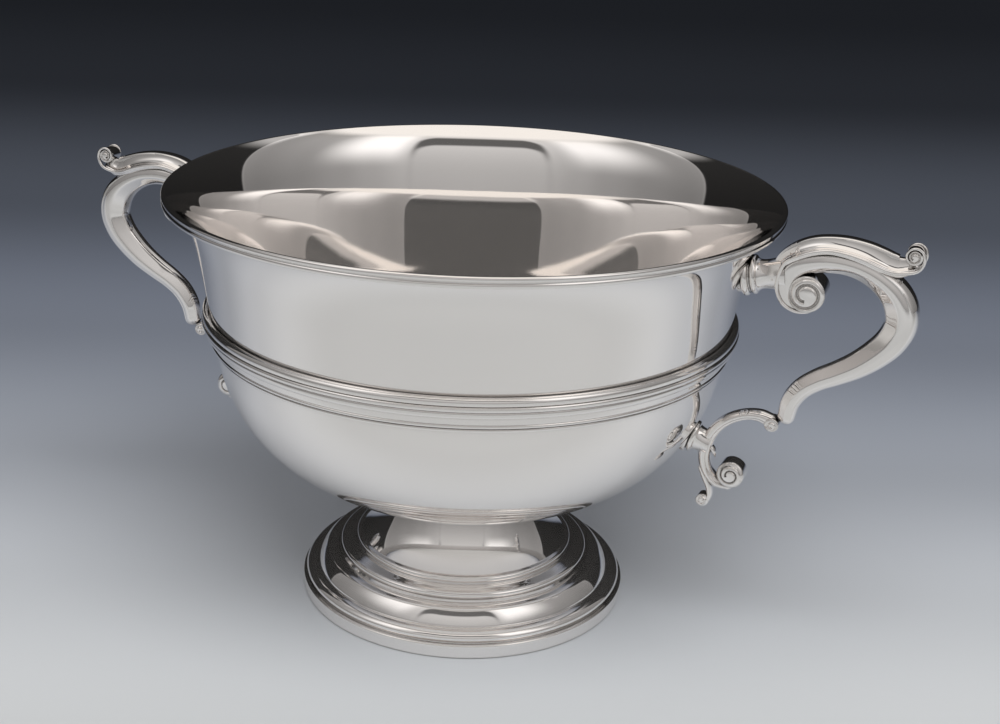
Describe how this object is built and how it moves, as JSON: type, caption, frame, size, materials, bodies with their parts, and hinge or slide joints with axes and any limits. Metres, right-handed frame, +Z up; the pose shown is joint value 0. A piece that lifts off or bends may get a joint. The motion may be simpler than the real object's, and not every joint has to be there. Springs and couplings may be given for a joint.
{
  "type": "two-handled pedestal bowl",
  "caption": "Round polished silver bowl with a flared lip, banded middle, stepped pedestal foot and a scroll handle on each side.",
  "frame": {"origin": "centre of the foot, on the surface the bowl stands on", "axes": "+Z up along the bowl's axis, +X along the right handle, so both handles lie in the plane y = 0"},
  "size_m": [0.472, 0.33, 0.2344],
  "materials": {
    "spun_silver": "polished, with fine wiping marks",
    "drawn_silver": "polished, slightly darker in the grooves",
    "cast_silver": "polished casting, darker in the hollows"
  },
  "bodies": {
    "root": {"bowl_body": "spun_silver", "foot_dome": "spun_silver", "rim_wire": "drawn_silver", "girdle_moulding": "drawn_silver", "girdle_lower_wire": "drawn_silver", "foot_collar": "drawn_silver", "foot_band": "drawn_silver", "right_upper_plate": "cast_silver", "right_upper_socket": "cast_silver", "right_grip_scroll": "cast_silver", "right_thumb_strap": "cast_silver", "right_lower_plate": "cast_silver", "right_lower_socket": "cast_silver", "right_bracket_scroll": "cast_silver", "right_bracket_spur": "cast_silver", "left_upper_plate": "cast_silver", "left_upper_socket": "cast_silver", "left_grip_scroll": "cast_silver", "left_thumb_strap": "cast_silver", "left_lower_plate": "cast_silver", "left_lower_socket": "cast_silver", "left_bracket_scroll": "cast_silver", "left_bracket_spur": "cast_silver"}
  },
  "joints": []
}
